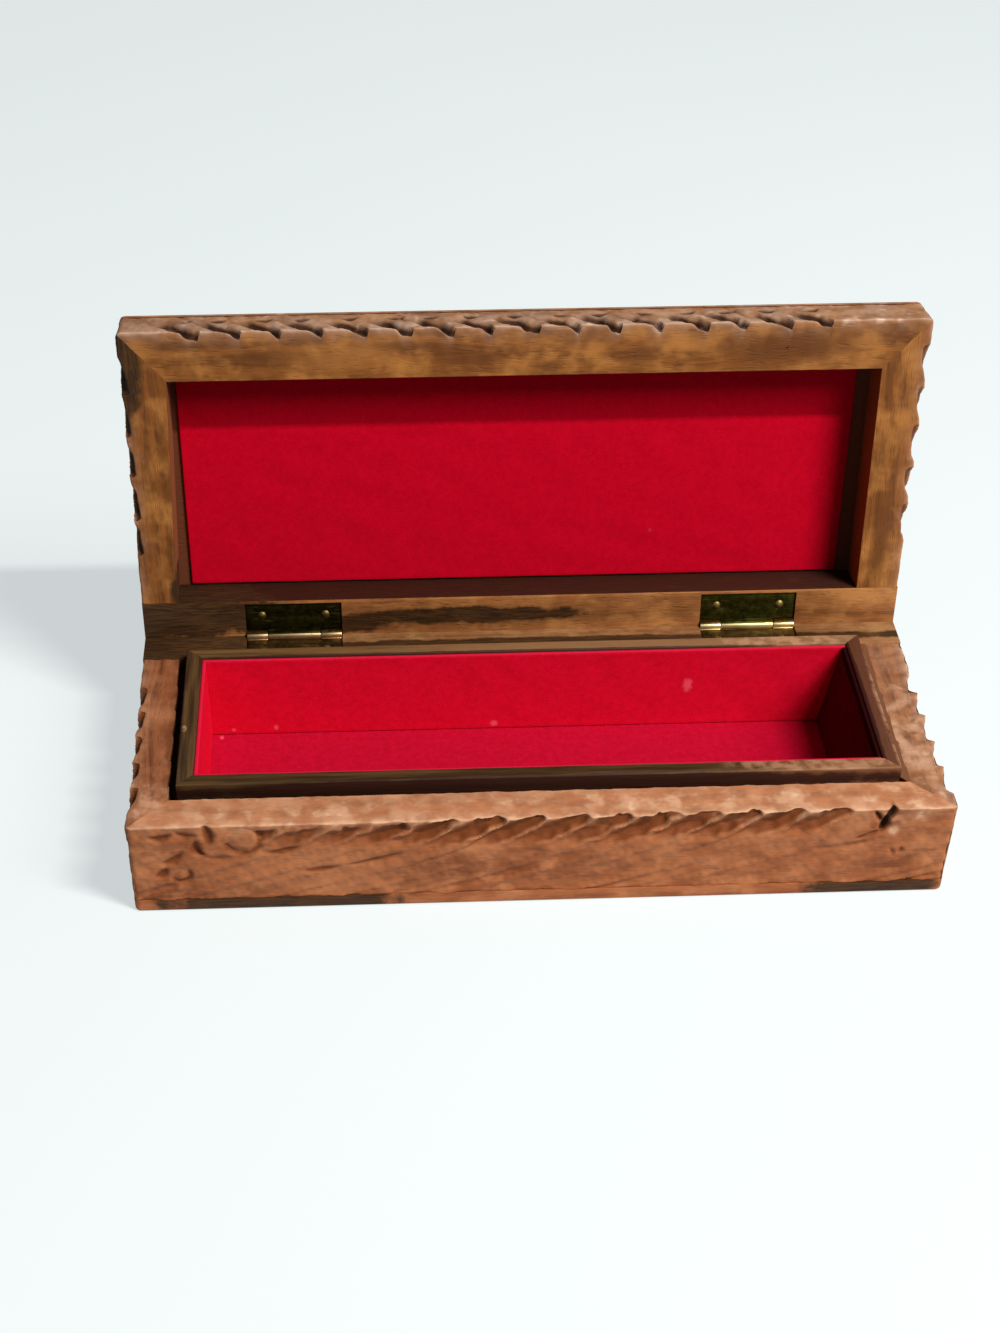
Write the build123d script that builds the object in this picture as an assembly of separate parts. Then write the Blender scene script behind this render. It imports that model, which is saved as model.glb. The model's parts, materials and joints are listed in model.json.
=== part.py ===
from build123d import *
import os
from math import atan, cos, degrees, radians, sin, tan

# A long narrow wooden trinket box with a carved leaf border and a hinged lid, shown with the lid open.
# X runs along the front to the right, Y runs to the back, Z is up, and the origin is the middle of the underside.

# Closed box, in millimetres
BOX_LENGTH = 203.0
BOX_DEPTH = 84.0
BASE_HEIGHT = 26.5
LID_HEIGHT = 14.0
RIM_GAP = 0.15
CORNER_RADIUS = 1.6
ARRIS_RADIUS = 0.8
OPEN_ANGLE = 98.0

# Boards of the base: the front and back ones are a little thicker than the ends
LONG_WALL = 12.8
END_WALL = 12.0
BOTTOM = 3.4
RELIEF_SIDE = 2.4
RELIEF_FRONT = 2.0
RELIEF_DEPTH = 3.0

# Thin inner strips that stand above the rim as a locating lip
LINER = 4.1
LIP_HEIGHT = 3.0
LIP_ROUND = 0.5

# Felt lining
FELT = 1.0
FLOOR_FELT = 1.8
FELT_DROP = 0.5
CEILING_FELT = 0.8
CEILING_SIDE_MARGIN = 1.1
CEILING_EDGE_MARGIN = 0.5

# Lid frame and panel
PANEL = 2.2
LIP_CLEARANCE = 0.3
FRONT_LIP_CLEARANCE = 0.4
LEFT_STILE_TAPER = 2.3
RIGHT_STILE_TAPER = 0.5

# Butt hinges rolled from sheet, with one pin each
HINGE_LENGTH = 25.4
HINGE_END_MARGIN = 40.2
HINGE_INSET = 2.6
LEAF_THICKNESS = 0.7
LEAF_SETBACK = 1.1
BARREL_RADIUS = 1.3
MIDDLE_KNUCKLE = 14.0
KNUCKLE_GAP = 0.2
PIN_RADIUS = 0.6
PIN_CLEARANCE = 0.05
MORTISE_CLEARANCE = 0.2
BEVEL_EASE = 0.25

# Round-headed nails that hold the leaves
NAIL_SPACING = 17.0
NAIL_REACH = 5.5
NAIL_RADIUS = 0.5
NAIL_LENGTH = 7.0
NAIL_HEAD_RADIUS = 1.1
NAIL_HEAD_HEIGHT = 0.5
NAIL_CLEARANCE = 0.05

# Leaf border cut along the parting line with slanting notches
LEAF_PITCH = 10.4
LEAF_DEPTH = 1.5
LEAF_FILL = 0.9
LEAF_STEEP_ANGLE = 60.0
FRONT_BORDER_MARGIN = 18.0
SIDE_BORDER_FRONT = 16.5
SIDE_BORDER_BACK = 25.5
BASE_LEAF_LEAN = 45.0
BASE_LEAF_LENGTH = 13.0
LID_LEAF_LEAN = 30.0
LID_LEAF_LENGTH = 10.0

# How far a cutting shape runs past what it cuts
OVERCUT = 1.0

# Places worked out from the sizes above
RIGHT_X = BOX_LENGTH / 2
LEFT_X = -RIGHT_X
BACK_Y = BOX_DEPTH / 2
FRONT_Y = -BACK_Y
LID_RIM_Z = BASE_HEIGHT + RIM_GAP
PANEL_Z = LID_RIM_Z + LID_HEIGHT - PANEL
LIP_TOP = BASE_HEIGHT + LIP_HEIGHT
LINER_X = RIGHT_X - END_WALL
LINER_Y = BACK_Y - LONG_WALL
CAVITY_X = LINER_X - LINER
CAVITY_Y = LINER_Y - LINER
HINGE_Y = BACK_Y - HINGE_INSET
HINGE_Z = BASE_HEIGHT + RIM_GAP / 2
HINGE_AXIS = Axis((0, HINGE_Y, HINGE_Z), (1, 0, 0))
BEVEL_ANGLE = OPEN_ANGLE / 2 + BEVEL_EASE

# The lid's opening clears the lip by the named clearances
LID_FRONT_RAIL = LONG_WALL - FRONT_LIP_CLEARANCE
LID_BACK_RAIL = LONG_WALL - LIP_CLEARANCE
LID_STILE = END_WALL - LIP_CLEARANCE
OPENING_FRONT_Y = FRONT_Y + LID_FRONT_RAIL
OPENING_BACK_Y = BACK_Y - LID_BACK_RAIL
OPENING_RIGHT_X = RIGHT_X - LID_STILE
OPENING_LEFT_X = LEFT_X + LID_STILE
LEAF_WIDTH = LID_BACK_RAIL - HINGE_INSET - LEAF_SETBACK


def block(x_range, y_range, z_range):
    """A plain block between two limits on each axis."""
    size = [high - low for low, high in (x_range, y_range, z_range)]
    corner = (x_range[0], y_range[0], z_range[0])
    return Pos(*corner) * Box(*size, align=(Align.MIN, Align.MIN, Align.MIN))


def board(plan, z_range):
    """A board with the given outline in plan, cut square top and bottom."""
    outline = make_face(Polyline(*plan, close=True))
    return Pos(0, 0, z_range[0]) * extrude(outline, amount=z_range[1] - z_range[0])


def round_bar(radius, x_range, y, z):
    """A bar along X."""
    length = x_range[1] - x_range[0]
    middle = (x_range[0] + x_range[1]) / 2
    return Pos(middle, y, z) * Rot(0, 90, 0) * Cylinder(radius, length)


def softened_block(z_range, rounded_end):
    """The outer form of the base or lid, with its upright corners and one end's arrises rounded."""
    form = block((LEFT_X, RIGHT_X), (FRONT_Y, BACK_Y), z_range)
    form = fillet(form.edges().filter_by(Axis.Z), CORNER_RADIUS)
    return fillet(form.faces().sort_by(Axis.Z)[rounded_end].edges(), ARRIS_RADIUS)


def leaf_notch(tip, travel, outward, away, lean, length):
    """One slanting notch of the leaf border: a steep wall at its tip side and a long gentle slope behind it."""
    slant = away * cos(radians(lean)) - travel * sin(radians(lean))
    across = travel * cos(radians(lean)) + away * sin(radians(lean))
    run = slant + outward * (LEAF_DEPTH / length)
    gentle_angle = atan(LEAF_DEPTH / (LEAF_FILL * LEAF_PITCH * cos(radians(lean))))
    height = LEAF_DEPTH + OVERCUT
    root = tip - outward * LEAF_DEPTH - run * OVERCUT
    steep = root + outward * height + across * (height / tan(radians(LEAF_STEEP_ANGLE)))
    gentle = root + outward * height - across * (height / tan(gentle_angle))
    profile = Face(Wire.make_polygon([root, steep, gentle]))
    return Solid.extrude(profile, run * (length + 2 * OVERCUT))


def border_steps(length, first_margin, last_margin):
    """Distances of the leaf tips along an edge."""
    count = int((length - first_margin - last_margin) / LEAF_PITCH) + 1
    return [first_margin + LEAF_PITCH * number for number in range(count)]


def carve_front(piece, rim_z, away, lean, length):
    """Cuts the leaf border along a front edge, its tips pointing right."""
    for step in border_steps(BOX_LENGTH, FRONT_BORDER_MARGIN, FRONT_BORDER_MARGIN):
        tip = Vector(LEFT_X + step, FRONT_Y, rim_z)
        piece -= leaf_notch(tip, Vector(1, 0, 0), Vector(0, -1, 0), away, lean, length)
    return piece


def carve_side(piece, x, rim_z, away, lean, length):
    """Cuts the leaf border along a side edge, its tips pointing back on the left and forward on the right."""
    outward = Vector(1 if x > 0 else -1, 0, 0)
    travel = Vector(0, -1 if x > 0 else 1, 0)
    for step in border_steps(BOX_DEPTH, SIDE_BORDER_FRONT, SIDE_BORDER_BACK):
        tip = Vector(x, FRONT_Y + step, rim_z)
        piece -= leaf_notch(tip, travel, outward, away, lean, length)
    return piece


def hinge_centres():
    """The middle of each hinge along X, left then right, a set distance from the box's ends."""
    return [LEFT_X + HINGE_END_MARGIN, RIGHT_X - HINGE_END_MARGIN]


def nail_points(hinge_x):
    """The two nails of one leaf."""
    return [hinge_x - NAIL_SPACING / 2, hinge_x + NAIL_SPACING / 2]


def hinge_seat(direction):
    """What a back board loses for its hinges: leaf mortises, barrel hollows, nail holes and the stop bevel.
    Direction is -1 for the base below the pins and 1 for the lid above them."""
    floor = HINGE_Z + direction * BARREL_RADIUS
    past_rim = HINGE_Z - direction * OVERCUT
    z_range = sorted((floor, past_rim))
    far_y = BACK_Y + OVERCUT
    drop = (far_y - HINGE_Y) * tan(radians(BEVEL_ANGLE))
    bevel_plan = [(HINGE_Y, HINGE_Z), (far_y, HINGE_Z), (far_y, HINGE_Z + direction * drop)]
    bevel_face = Face(Wire.make_polygon([Vector(LEFT_X - OVERCUT, y, z) for y, z in bevel_plan]))
    seat = [Solid.extrude(bevel_face, Vector(BOX_LENGTH + 2 * OVERCUT, 0, 0))]
    for hinge_x in hinge_centres():
        half = HINGE_LENGTH / 2 + MORTISE_CLEARANCE
        x_range = (hinge_x - half, hinge_x + half)
        seat.append(block(x_range, (HINGE_Y - LEAF_WIDTH - MORTISE_CLEARANCE, HINGE_Y), z_range))
        seat.append(round_bar(BARREL_RADIUS + MORTISE_CLEARANCE, x_range, HINGE_Y, HINGE_Z))
        for nail_x in nail_points(hinge_x):
            hole = Cylinder(NAIL_RADIUS + NAIL_CLEARANCE, NAIL_LENGTH + OVERCUT)
            seat.append(Pos(nail_x, HINGE_Y - NAIL_REACH, floor + direction * NAIL_LENGTH / 2) * hole)
    return seat


def base_boards():
    """Walls mitred at the front and butted against a full-length back board, all on a bottom board."""
    form = softened_block((0, BASE_HEIGHT), 0)
    z_range = (BOTTOM, BASE_HEIGHT)
    corners = {
        "front_left": (LEFT_X, FRONT_Y),
        "front_right": (RIGHT_X, FRONT_Y),
        "inner_left": (-LINER_X, -LINER_Y),
        "inner_right": (LINER_X, -LINER_Y),
    }
    front = [corners[name] for name in ("front_left", "front_right", "inner_right", "inner_left")]
    left = [corners["front_left"], corners["inner_left"], (-LINER_X, LINER_Y), (LEFT_X, LINER_Y)]
    right = [corners["front_right"], corners["inner_right"], (LINER_X, LINER_Y), (RIGHT_X, LINER_Y)]
    back = [(LEFT_X, LINER_Y), (RIGHT_X, LINER_Y), (RIGHT_X, BACK_Y), (LEFT_X, BACK_Y)]
    relief_x = LINER_X + RELIEF_SIDE
    relief = block(
        (-relief_x, relief_x),
        (-LINER_Y - RELIEF_FRONT, LINER_Y),
        (BASE_HEIGHT - RELIEF_DEPTH, BASE_HEIGHT + OVERCUT),
    )
    down = Vector(0, 0, -1)
    leaf = (BASE_HEIGHT, down, BASE_LEAF_LEAN, BASE_LEAF_LENGTH)
    return {
        "base_front_board": carve_front((form & board(front, z_range)) - relief, *leaf),
        "base_left_board": carve_side((form & board(left, z_range)) - relief, LEFT_X, *leaf),
        "base_right_board": carve_side((form & board(right, z_range)) - relief, RIGHT_X, *leaf),
        "base_back_board": (form & board(back, z_range)) - hinge_seat(-1),
        "base_bottom_board": form & block((LEFT_X, RIGHT_X), (FRONT_Y, BACK_Y), (0, BOTTOM)),
    }


def liner_strips():
    """Four thin strips mitred into a frame inside the walls, standing above the rim."""
    z_range = (BOTTOM, LIP_TOP)
    outer = block((-LINER_X, LINER_X), (-LINER_Y, LINER_Y), z_range)
    frame = outer - block((-CAVITY_X, CAVITY_X), (-CAVITY_Y, CAVITY_Y), z_range)
    frame = fillet(frame.faces().sort_by(Axis.Z)[-1].edges(), LIP_ROUND)
    strips = {}
    for side in (-1, 1):
        long_plan = [
            (-LINER_X, side * LINER_Y),
            (LINER_X, side * LINER_Y),
            (CAVITY_X, side * CAVITY_Y),
            (-CAVITY_X, side * CAVITY_Y),
        ]
        short_plan = [
            (side * LINER_X, -LINER_Y),
            (side * LINER_X, LINER_Y),
            (side * CAVITY_X, CAVITY_Y),
            (side * CAVITY_X, -CAVITY_Y),
        ]
        long_name = "liner_back_strip" if side > 0 else "liner_front_strip"
        short_name = "liner_right_strip" if side > 0 else "liner_left_strip"
        strips[long_name] = frame & board(long_plan, z_range)
        strips[short_name] = frame & board(short_plan, z_range)
    return strips


def compartment_felt():
    """Felt glued to the floor and then to the four sides of the compartment."""
    floor_top = BOTTOM + FLOOR_FELT
    floor_z = (BOTTOM, floor_top)
    wall_z = (floor_top, LIP_TOP - FELT_DROP)
    inner_y = CAVITY_Y - FELT
    inner_x = CAVITY_X - FELT
    return {
        "floor_felt": block((-CAVITY_X, CAVITY_X), (-CAVITY_Y, CAVITY_Y), floor_z),
        "front_wall_felt": block((-CAVITY_X, CAVITY_X), (-CAVITY_Y, -inner_y), wall_z),
        "back_wall_felt": block((-CAVITY_X, CAVITY_X), (inner_y, CAVITY_Y), wall_z),
        "left_wall_felt": block((-CAVITY_X, -inner_x), (-inner_y, inner_y), wall_z),
        "right_wall_felt": block((inner_x, CAVITY_X), (-inner_y, inner_y), wall_z),
    }


def lid_boards():
    """Rails and stiles mitred at the front and butted at the back, under a thin top panel, as if closed."""
    form = softened_block((LID_RIM_Z, LID_RIM_Z + LID_HEIGHT), -1)
    z_range = (LID_RIM_Z, PANEL_Z)
    left_front = (OPENING_LEFT_X, OPENING_FRONT_Y)
    left_back = (OPENING_LEFT_X - LEFT_STILE_TAPER, OPENING_BACK_Y)
    right_front = (OPENING_RIGHT_X, OPENING_FRONT_Y)
    right_back = (OPENING_RIGHT_X + RIGHT_STILE_TAPER, OPENING_BACK_Y)
    front = [(LEFT_X, FRONT_Y), (RIGHT_X, FRONT_Y), right_front, left_front]
    left = [(LEFT_X, FRONT_Y), left_front, left_back, (LEFT_X, OPENING_BACK_Y)]
    right = [(RIGHT_X, FRONT_Y), right_front, right_back, (RIGHT_X, OPENING_BACK_Y)]
    back = [(LEFT_X, OPENING_BACK_Y), (RIGHT_X, OPENING_BACK_Y), (RIGHT_X, BACK_Y), (LEFT_X, BACK_Y)]
    panel_z = (PANEL_Z, LID_RIM_Z + LID_HEIGHT)
    up = Vector(0, 0, 1)
    leaf = (LID_RIM_Z, up, LID_LEAF_LEAN, LID_LEAF_LENGTH)
    return {
        "lid_front_rail": carve_front(form & board(front, z_range), *leaf),
        "lid_left_stile": carve_side(form & board(left, z_range), LEFT_X, *leaf),
        "lid_right_stile": carve_side(form & board(right, z_range), RIGHT_X, *leaf),
        "lid_back_rail": (form & board(back, z_range)) - hinge_seat(1),
        "lid_top_panel": form & block((LEFT_X, RIGHT_X), (FRONT_Y, BACK_Y), panel_z),
    }


def ceiling_felt():
    """A rectangle of felt glued inside the lid, cut a little smaller than the recess."""
    x_range = (OPENING_LEFT_X + CEILING_SIDE_MARGIN, OPENING_RIGHT_X - CEILING_SIDE_MARGIN)
    y_range = (OPENING_FRONT_Y + CEILING_EDGE_MARGIN, OPENING_BACK_Y - CEILING_EDGE_MARGIN)
    return {"lid_ceiling_felt": block(x_range, y_range, (PANEL_Z - CEILING_FELT, PANEL_Z))}


def knuckle_ranges(hinge_x):
    """The outer two knuckles and the middle one, as ranges along X."""
    inner = MIDDLE_KNUCKLE / 2
    start = inner + KNUCKLE_GAP
    end = HINGE_LENGTH / 2
    outer = [(hinge_x - end, hinge_x - start), (hinge_x + start, hinge_x + end)]
    return outer, [(hinge_x - inner, hinge_x + inner)]


def hinge_leaf(hinge_x, direction):
    """One leaf, its plate tangent to the barrel. The base leaf has the outer knuckles and the lid leaf the middle one."""
    outer, middle = knuckle_ranges(hinge_x)
    own, other = (outer, middle) if direction < 0 else (middle, outer)
    face_z = HINGE_Z + direction * BARREL_RADIUS
    z_range = sorted((face_z, face_z - direction * LEAF_THICKNESS))
    x_range = (hinge_x - HINGE_LENGTH / 2, hinge_x + HINGE_LENGTH / 2)
    leaf = block(x_range, (HINGE_Y - LEAF_WIDTH, HINGE_Y), z_range)
    notch_y = (HINGE_Y - BARREL_RADIUS - MORTISE_CLEARANCE, HINGE_Y + OVERCUT)
    for low, high in other:
        leaf -= block((low - KNUCKLE_GAP, high + KNUCKLE_GAP), notch_y, z_range)
    for knuckle in own:
        leaf += round_bar(BARREL_RADIUS, knuckle, HINGE_Y, HINGE_Z)
    leaf -= round_bar(PIN_RADIUS + PIN_CLEARANCE, x_range, HINGE_Y, HINGE_Z)
    for nail_x in nail_points(hinge_x):
        hole = Cylinder(NAIL_RADIUS + NAIL_CLEARANCE, LEAF_THICKNESS + 2 * OVERCUT)
        leaf -= Pos(nail_x, HINGE_Y - NAIL_REACH, face_z) * hole
    return leaf


def nail():
    """A nail pointing down, with the underside of its domed head at the origin."""
    dome_radius = (NAIL_HEAD_RADIUS**2 + NAIL_HEAD_HEIGHT**2) / (2 * NAIL_HEAD_HEIGHT)
    blank = Pos(0, 0, NAIL_HEAD_HEIGHT / 2) * Cylinder(NAIL_HEAD_RADIUS, NAIL_HEAD_HEIGHT)
    head = blank & (Pos(0, 0, NAIL_HEAD_HEIGHT - dome_radius) * Sphere(dome_radius))
    return head + Pos(0, 0, -NAIL_LENGTH / 2) * Cylinder(NAIL_RADIUS, NAIL_LENGTH)


def hinge_nails(direction):
    """The four nails of the base leaves or of the lid leaves."""
    head_z = HINGE_Z + direction * (BARREL_RADIUS - LEAF_THICKNESS)
    turn = Rot(180, 0, 0) if direction > 0 else Rot(0, 0, 0)
    places = [nail_x for hinge_x in hinge_centres() for nail_x in nail_points(hinge_x)]
    return Compound([Pos(nail_x, HINGE_Y - NAIL_REACH, head_z) * turn * nail() for nail_x in places])


def hinge_pieces():
    """Leaves and pins of both hinges, as if the lid were closed."""
    base, lid = {}, {}
    for side, hinge_x in zip(("left", "right"), hinge_centres()):
        half = HINGE_LENGTH / 2
        base[f"{side}_hinge_base_leaf"] = hinge_leaf(hinge_x, -1)
        base[f"{side}_hinge_pin"] = round_bar(PIN_RADIUS, (hinge_x - half, hinge_x + half), HINGE_Y, HINGE_Z)
        lid[f"{side}_hinge_lid_leaf"] = hinge_leaf(hinge_x, 1)
    base["base_hinge_nails"] = hinge_nails(-1)
    lid["lid_hinge_nails"] = hinge_nails(1)
    return base, lid


hinge_base, hinge_lid = hinge_pieces()
pieces = {**base_boards(), **liner_strips(), **compartment_felt(), **hinge_base}
closed_lid = {**lid_boards(), **ceiling_felt(), **hinge_lid}
for name, piece in closed_lid.items():
    pieces[name] = piece.rotate(HINGE_AXIS, -OPEN_ANGLE)

os.makedirs("parts", exist_ok=True)
for name, piece in pieces.items():
    export_step(piece, f"parts/{name}.step")
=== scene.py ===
import bpy
import json
import math
import numpy as np
from mathutils import Matrix, Vector


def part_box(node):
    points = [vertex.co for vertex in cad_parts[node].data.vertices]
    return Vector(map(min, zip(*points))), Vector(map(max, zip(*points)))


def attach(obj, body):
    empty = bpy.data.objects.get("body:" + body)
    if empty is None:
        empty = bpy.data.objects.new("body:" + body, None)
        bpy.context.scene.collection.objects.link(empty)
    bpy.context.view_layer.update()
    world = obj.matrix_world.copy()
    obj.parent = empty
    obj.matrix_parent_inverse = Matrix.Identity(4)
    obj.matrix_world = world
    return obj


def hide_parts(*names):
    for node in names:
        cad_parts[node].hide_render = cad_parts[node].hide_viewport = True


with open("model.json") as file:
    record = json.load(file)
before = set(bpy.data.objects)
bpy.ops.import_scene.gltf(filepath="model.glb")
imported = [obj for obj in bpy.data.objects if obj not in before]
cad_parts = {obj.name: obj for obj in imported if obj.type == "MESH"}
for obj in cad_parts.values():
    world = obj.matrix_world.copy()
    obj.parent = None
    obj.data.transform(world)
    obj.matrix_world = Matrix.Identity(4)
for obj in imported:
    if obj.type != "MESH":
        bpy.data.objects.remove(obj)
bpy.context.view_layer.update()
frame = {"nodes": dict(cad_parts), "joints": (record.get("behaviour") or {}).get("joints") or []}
bpy.ops.object.select_all(action="DESELECT")

# View of the box
# The camera stands in front of the box and looks down on it. Its lens axis meets the picture
# below the middle, as in a picture cropped from a larger one.
MM = 0.001
TARGET = Vector((-22.59, -1.4, -84.19)) * MM
DISTANCE = 590.5 * MM
ELEVATION = math.radians(44.65)
AZIMUTH = math.radians(-2.4)
ROLL = math.radians(0.04)
SENSOR_WIDTH = 36
LENS = 54.06
LENS_SHIFT = (0.042, 0.2716)
bpy.ops.object.camera_add()
camera = bpy.context.object
turn = Matrix.Rotation(AZIMUTH, 4, "Z") @ Matrix.Rotation(math.pi / 2 - ELEVATION, 4, "X")
turn = turn @ Matrix.Rotation(ROLL, 4, "Z")
camera.matrix_world = Matrix.Translation(TARGET) @ turn @ Matrix.Translation((0, 0, DISTANCE))
camera.data.sensor_width = SENSOR_WIDTH
camera.data.lens = LENS
camera.data.shift_x, camera.data.shift_y = LENS_SHIFT
bpy.context.scene.camera = camera
bpy.context.scene.view_settings.view_transform = "Standard"


# Floor and light
# The box stands on a pale sheet. For the light it gives back it is painted darker further out, a painted pool of light
# round the box, and it looks pale only to the viewer.
# A narrow bright lamp and a broad soft one stand in front on the right, and pale light comes from all round.
class Signal:
    """A value that changes over a surface, so that its maths reads as maths."""

    def __init__(self, finish, socket):
        self.finish = finish
        self.socket = socket

    def maths(self, operation, *values):
        return self.finish.node("ShaderNodeMath", {"operation": operation}, dict(enumerate(values)))

    def __add__(self, other):
        return self.maths("ADD", self, other)

    def __radd__(self, other):
        return self.maths("ADD", other, self)

    def __sub__(self, other):
        return self.maths("SUBTRACT", self, other)

    def __rsub__(self, other):
        return self.maths("SUBTRACT", other, self)

    def __mul__(self, other):
        return self.maths("MULTIPLY", self, other)

    def __rmul__(self, other):
        return self.maths("MULTIPLY", other, self)

    def greater(self, other):
        return self.maths("MAXIMUM", self, other)

    def rise(self, low, high):
        """0 below low, 1 above high and smooth between them. With low above high it falls."""
        settings = {"interpolation_type": "SMOOTHSTEP"}
        sockets = {"Value": self, "From Min": low, "From Max": high}
        return self.finish.node("ShaderNodeMapRange", settings, sockets)


class Finish:
    """One material, made node by node round its surface shader."""

    def __init__(self, name, constants):
        self.material = bpy.data.materials.new(name)
        self.material.use_nodes = True
        self.tree = self.material.node_tree
        self.shader = self.tree.nodes["Principled BSDF"]
        for socket, value in constants.items():
            self.shader.inputs[socket].default_value = value

    def join(self, socket, value):
        if isinstance(value, Signal):
            self.tree.links.new(value.socket, socket)
        else:
            socket.default_value = value

    def node(self, kind, settings=None, sockets=None, output=0):
        """Any node: its settings are set first, then the values or links of its sockets."""
        node = self.tree.nodes.new(kind)
        for setting, value in (settings or {}).items():
            setattr(node, setting, value)
        for socket, value in (sockets or {}).items():
            self.join(node.inputs[socket], value)
        return Signal(self, node.outputs[output])

    def place(self, rotation=(0, 0, 0), scale=(1, 1, 1), shift=(0, 0, 0), of=None):
        """Where a point of the piece is, turned and stretched for a pattern."""
        start = of or self.node("ShaderNodeTexCoord", output="Object")
        sockets = {"Vector": start, "Rotation": rotation, "Scale": scale, "Location": shift}
        return self.node("ShaderNodeMapping", None, sockets)

    def noise(self, place, scale, detail=2, roughness=0.5, output=0):
        sockets = {"Vector": place, "Scale": scale, "Detail": detail, "Roughness": roughness}
        return self.node("ShaderNodeTexNoise", None, sockets, output)

    def vector(self, operation, *values, output=0):
        return self.node("ShaderNodeVectorMath", {"operation": operation}, dict(enumerate(values)), output)

    def worked(self, name):
        """A value that the maker of the mesh left on its points, such as rubbing, or dirt and painted shade."""
        return self.node("ShaderNodeAttribute", {"attribute_name": name}, output="Fac")

    def near(self, spot, places, ragged, outside, inside):
        """1 within any of the places, each given as its middle and its reach, and 0 away from them all."""
        found = 0
        for middle, reach in places:
            inverse = [1 / size for size in reach]
            away = self.vector("MULTIPLY", self.vector("SUBTRACT", spot, middle), inverse)
            found = (self.vector("LENGTH", away, output="Value") + ragged).rise(outside, inside).greater(found)
        return found

    def mix(self, share, below, above):
        settings = {"data_type": "RGBA", "clamp_factor": True}
        return self.node("ShaderNodeMix", settings, {0: share, 6: below, 7: above}, 2)

    def surface(self, bump=None, depth=0.0, **signals):
        """Joins what changes over the surface to the shader, with a bump of the given depth in metres."""
        for socket, value in signals.items():
            self.join(self.shader.inputs[socket.replace("_", " ").title()], value)
        if bump is not None:
            normal = self.node("ShaderNodeBump", None, {"Height": bump, "Distance": depth})
            self.join(self.shader.inputs["Normal"], normal)
        return self.material


def paint(code):
    """A colour given as it looks on the object, such as A5613C."""
    shades = [int(code[start:start + 2], 16) / 255 for start in (0, 2, 4)]
    return (*(((shade + 0.055) / 1.055) ** 2.4 if shade > 0.04 else shade / 12.92 for shade in shades), 1)


paper = Finish("pale_paper", {"Roughness": 0.9})
RAYS = ("Is Camera Ray", "Is Glossy Ray", "Is Transmission Ray")
camera_ray, glossy_ray, clear_ray = (paper.node("ShaderNodeLightPath", output=kind) for kind in RAYS)
viewed = camera_ray.greater(glossy_ray).greater(clear_ray)
# The sheet gives back most light within an oval round the box, a seventh of a metre along it and a tenth across: a
# painted pool of light.
OVAL = (7, 10, 1)
GLOW_SHARE = 0.64
away = paper.vector("LENGTH", paper.place(scale=OVAL), output="Value")
painted_light_pool = paper.mix(away.rise(0.95, 1.3), paint("E2E8E8"), paint("7C8082"))
paper_tone = paper.mix(paper.noise(paper.place(), 3, 3), paint("D2DADA"), paint("DEE4E3"))
paper.surface(base_color=paper.mix(viewed, painted_light_pool, paper_tone))
plain = Signal(paper, paper.shader.outputs[0])
glow = paper.node("ShaderNodeEmission", None, {"Color": paint("F4FBFC"), "Strength": 1})
blended = paper.node("ShaderNodeMixShader", None, {0: viewed * GLOW_SHARE, 1: plain, 2: glow})
paper.join(paper.tree.nodes["Material Output"].inputs["Surface"], blended)
bpy.ops.mesh.primitive_plane_add(size=8)
floor = bpy.context.object
floor.name = "floor"
floor.data.materials.append(paper.material)

surroundings = bpy.data.worlds.new("surroundings")
bpy.context.scene.world = surroundings
surroundings.use_nodes = True
light_nodes = surroundings.node_tree.nodes
dim = light_nodes["Background"]
dim.inputs["Color"].default_value = (0.88, 0.95, 1, 1)
dim.inputs["Strength"].default_value = 0.12
pale = light_nodes.new("ShaderNodeBackground")
pale.inputs["Color"].default_value = (0.93, 0.97, 0.97, 1)
ray = light_nodes.new("ShaderNodeLightPath")
seen = light_nodes.new("ShaderNodeMath")
seen.operation = "MAXIMUM"
choice = light_nodes.new("ShaderNodeMixShader")
for source, target in (
    (ray.outputs["Is Camera Ray"], seen.inputs[0]),
    (ray.outputs["Is Transmission Ray"], seen.inputs[1]),
    (seen.outputs[0], choice.inputs["Fac"]),
    (dim.outputs[0], choice.inputs[1]),
    (pale.outputs[0], choice.inputs[2]),
    (choice.outputs[0], light_nodes["World Output"].inputs["Surface"]),
):
    surroundings.node_tree.links.new(source, target)

# Each lamp's place, its width and height in metres, and its power in watts.
LAMPS = (
    ((0.62, -0.48, 1.14), (0.42, 0.05), 19.6),
    ((0.86, -0.64, 0.96), (0.6, 0.4), 12.6),
)
LAMP_TINT = (1, 0.985, 0.96)
LAMP_AIM = Vector((0, 0, 0.03))
for place, (width, height), power in LAMPS:
    bpy.ops.object.light_add(type="AREA", location=place)
    lamp = bpy.context.object
    lamp.data.shape = "RECTANGLE"
    lamp.data.size = width
    lamp.data.size_y = height
    lamp.data.energy = power
    lamp.data.color = LAMP_TINT
    toward = (Vector(place) - LAMP_AIM).normalized()
    across = (Vector((1, 0, 0)) - toward * toward.x).normalized()
    stance = Matrix((across, toward.cross(across), toward)).transposed().to_4x4()
    lamp.matrix_world = Matrix.Translation(place) @ stance


# Bottom board
# One thin board under the whole box, glued to the walls. Its edge shows as a line along the foot,
# nearly black where it is heartwood.
IN_MM = (1000, 1000, 1000)
OILED = {"Specular IOR Level": 0.22}
ALONG_BOX = (1, 0, 0)
PORES = "3A1D0C"
WORN_FLECKS = "D8B498"
HEARTWOOD = ("201004", "40270C")


def along_grain(finish, grain, pith):
    """The place of a point in millimetres, turned so that the grain runs along x and moved away from the pith."""
    turned = Vector(grain).rotation_difference(Vector((1, 0, 0))).to_euler()
    return finish.place(rotation=turned, scale=IN_MM, shift=pith)


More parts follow.
